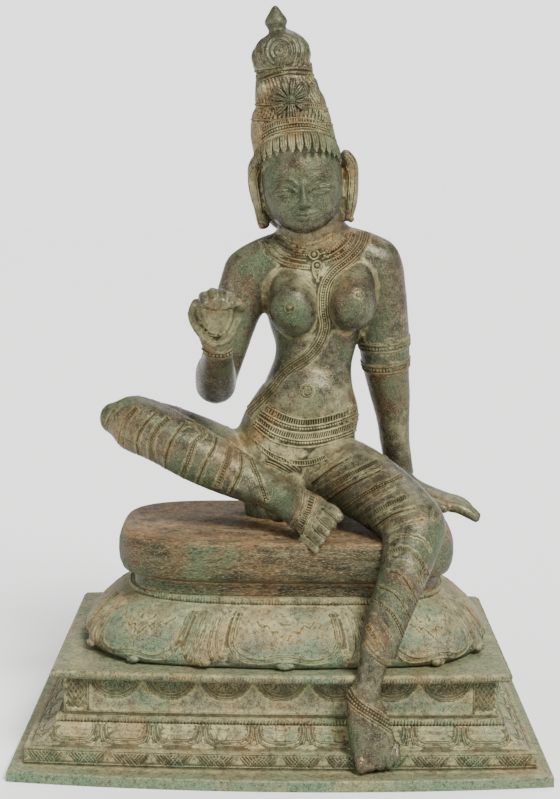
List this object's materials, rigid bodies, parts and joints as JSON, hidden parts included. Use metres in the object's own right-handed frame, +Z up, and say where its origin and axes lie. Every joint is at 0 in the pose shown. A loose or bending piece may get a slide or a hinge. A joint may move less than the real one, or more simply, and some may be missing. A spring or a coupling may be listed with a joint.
{
  "type": "seated goddess figure on a lotus plinth",
  "caption": "Cast bronze goddess seated with one leg folded and one hanging, on a cushion, a lotus tier and a stepped plinth.",
  "frame": {"origin": "centre of the plinth's underside", "axes": "+Z up; the figure faces -Y, with its raised right hand on the -X side"},
  "size_m": [0.534, 0.436, 0.7579],
  "materials": {
    "parvati_figure": "cast bronze with a dark brown-green patina and dust in the recesses",
    "lotus_plinth": "cast bronze with a dusty green patina"
  },
  "bodies": {
    "root": {"parvati_figure": "parvati_figure", "lotus_plinth": "lotus_plinth"}
  },
  "joints": []
}
